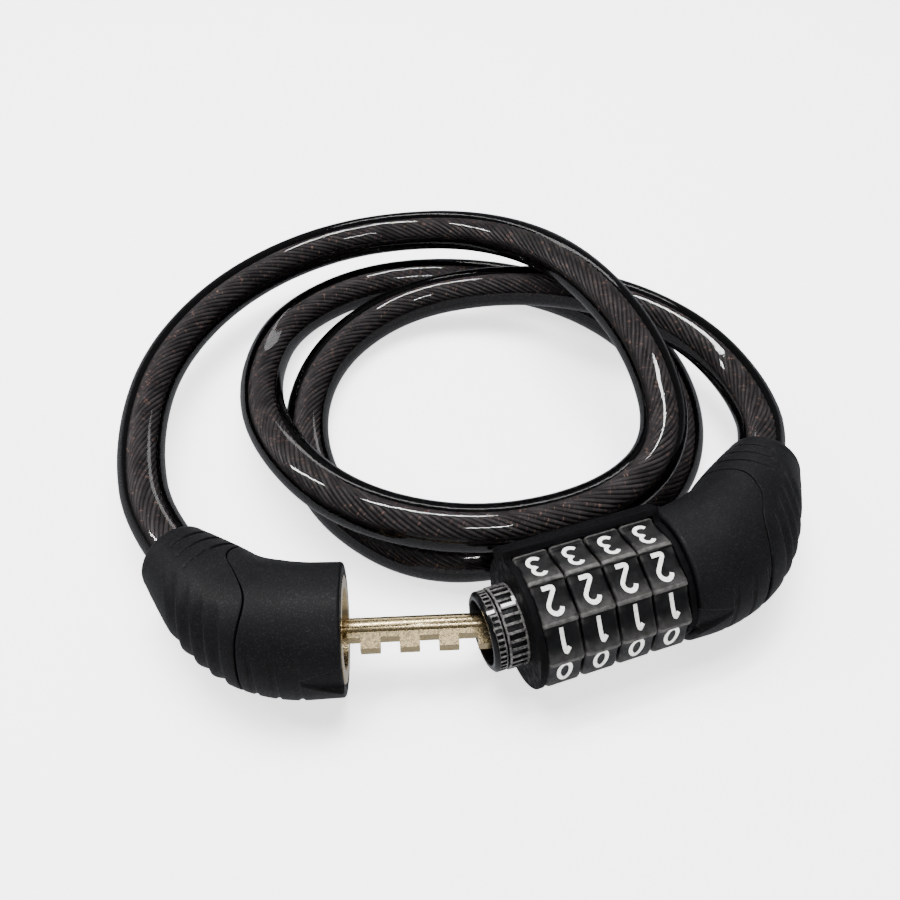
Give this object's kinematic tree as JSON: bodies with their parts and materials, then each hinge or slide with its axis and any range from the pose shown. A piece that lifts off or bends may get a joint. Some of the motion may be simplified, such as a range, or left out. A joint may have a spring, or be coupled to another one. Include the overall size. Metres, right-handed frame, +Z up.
{
  "type": "combination cable lock",
  "caption": "Coiled cable lock: a smoked vinyl covered wire rope joins a toothed bolt end to a combination dial lock end.",
  "frame": {"origin": "on the table under the centre of the box round the two lock ends, cable left out", "axes": "+X along the withdrawn bolt, from the bolt end towards the dial end; +Y back from the locking parts across the coil; +Z up"},
  "size_m": [0.1767, 0.1676, 0.0381],
  "materials": {
    "housing_black": "fine grained matt black moulding",
    "dial_black": "semi-gloss black with rubbed lips and white digits",
    "boss_black": "glossy black ribs with white marks",
    "frame_black": "black coated steel plate",
    "pale_gold": "pale gold plating over a casting, bright edges",
    "gate_brass": "plain turned brass",
    "steel": "zinc plated steel",
    "cast_zinc": "grey die casting",
    "ferrule": "crimped aluminium",
    "smoked_pvc": "glossy smoked clear cover",
    "rope_steel": "dark twisted steel wire rope"
  },
  "bodies": {
    "lock_end": {"lock_housing": "housing_black", "lock_grip": "housing_black", "anchor_block": "cast_zinc", "lock_ferrule": "ferrule", "lock_ferrule_pin": "steel", "frame_screws": "steel", "dial_frame": "frame_black", "index_collar": "boss_black", "wave_washer": "steel", "cable_sheath": "smoked_pvc", "wire_rope": "rope_steel"},
    "bolt_end": {"bolt_housing": "housing_black", "bolt_grip": "housing_black", "bolt_cup": "pale_gold", "bolt": "pale_gold", "bolt_pin": "steel", "bolt_ferrule": "ferrule", "bolt_ferrule_pin": "steel"},
    "reset_core": {"reset_ring": "boss_black", "core_tube": "steel", "retaining_clip": "steel"},
    "dial_1": {"number_ring_1": "dial_black", "gate_ring_1": "gate_brass"},
    "dial_2": {"number_ring_2": "dial_black", "gate_ring_2": "gate_brass"},
    "dial_3": {"number_ring_3": "dial_black", "gate_ring_3": "gate_brass"},
    "dial_4": {"number_ring_4": "dial_black", "gate_ring_4": "gate_brass"}
  },
  "joints": [
    {"name": "dial_1_spin", "type": "hinge", "parent": "lock_end", "child": "dial_1", "pos_m": [0.0063, -0.0184, 0.01565], "axis": [0.9426, 0.3338, 0], "continuous": true},
    {"name": "dial_2_spin", "type": "hinge", "parent": "lock_end", "child": "dial_2", "pos_m": [0.0063, -0.0184, 0.01565], "axis": [0.9426, 0.3338, 0], "continuous": true},
    {"name": "dial_3_spin", "type": "hinge", "parent": "lock_end", "child": "dial_3", "pos_m": [0.0063, -0.0184, 0.01565], "axis": [0.9426, 0.3338, 0], "continuous": true},
    {"name": "dial_4_spin", "type": "hinge", "parent": "lock_end", "child": "dial_4", "pos_m": [0.0063, -0.0184, 0.01565], "axis": [0.9426, 0.3338, 0], "continuous": true},
    {"name": "reset_ring_turn", "type": "hinge", "parent": "lock_end", "child": "reset_core", "pos_m": [0.0063, -0.0184, 0.01565], "axis": [0.9426, 0.3338, 0], "range_deg": [0, 90]},
    {"name": "bolt_end_pull", "type": "slide", "parent": "lock_end", "child": "bolt_end", "axis": [-0.9986, -0.0523, 0], "range_m": [0, 0.03], "stiffness_N_per_m": 150, "deforming": ["cable_sheath", "wire_rope"]}
  ]
}
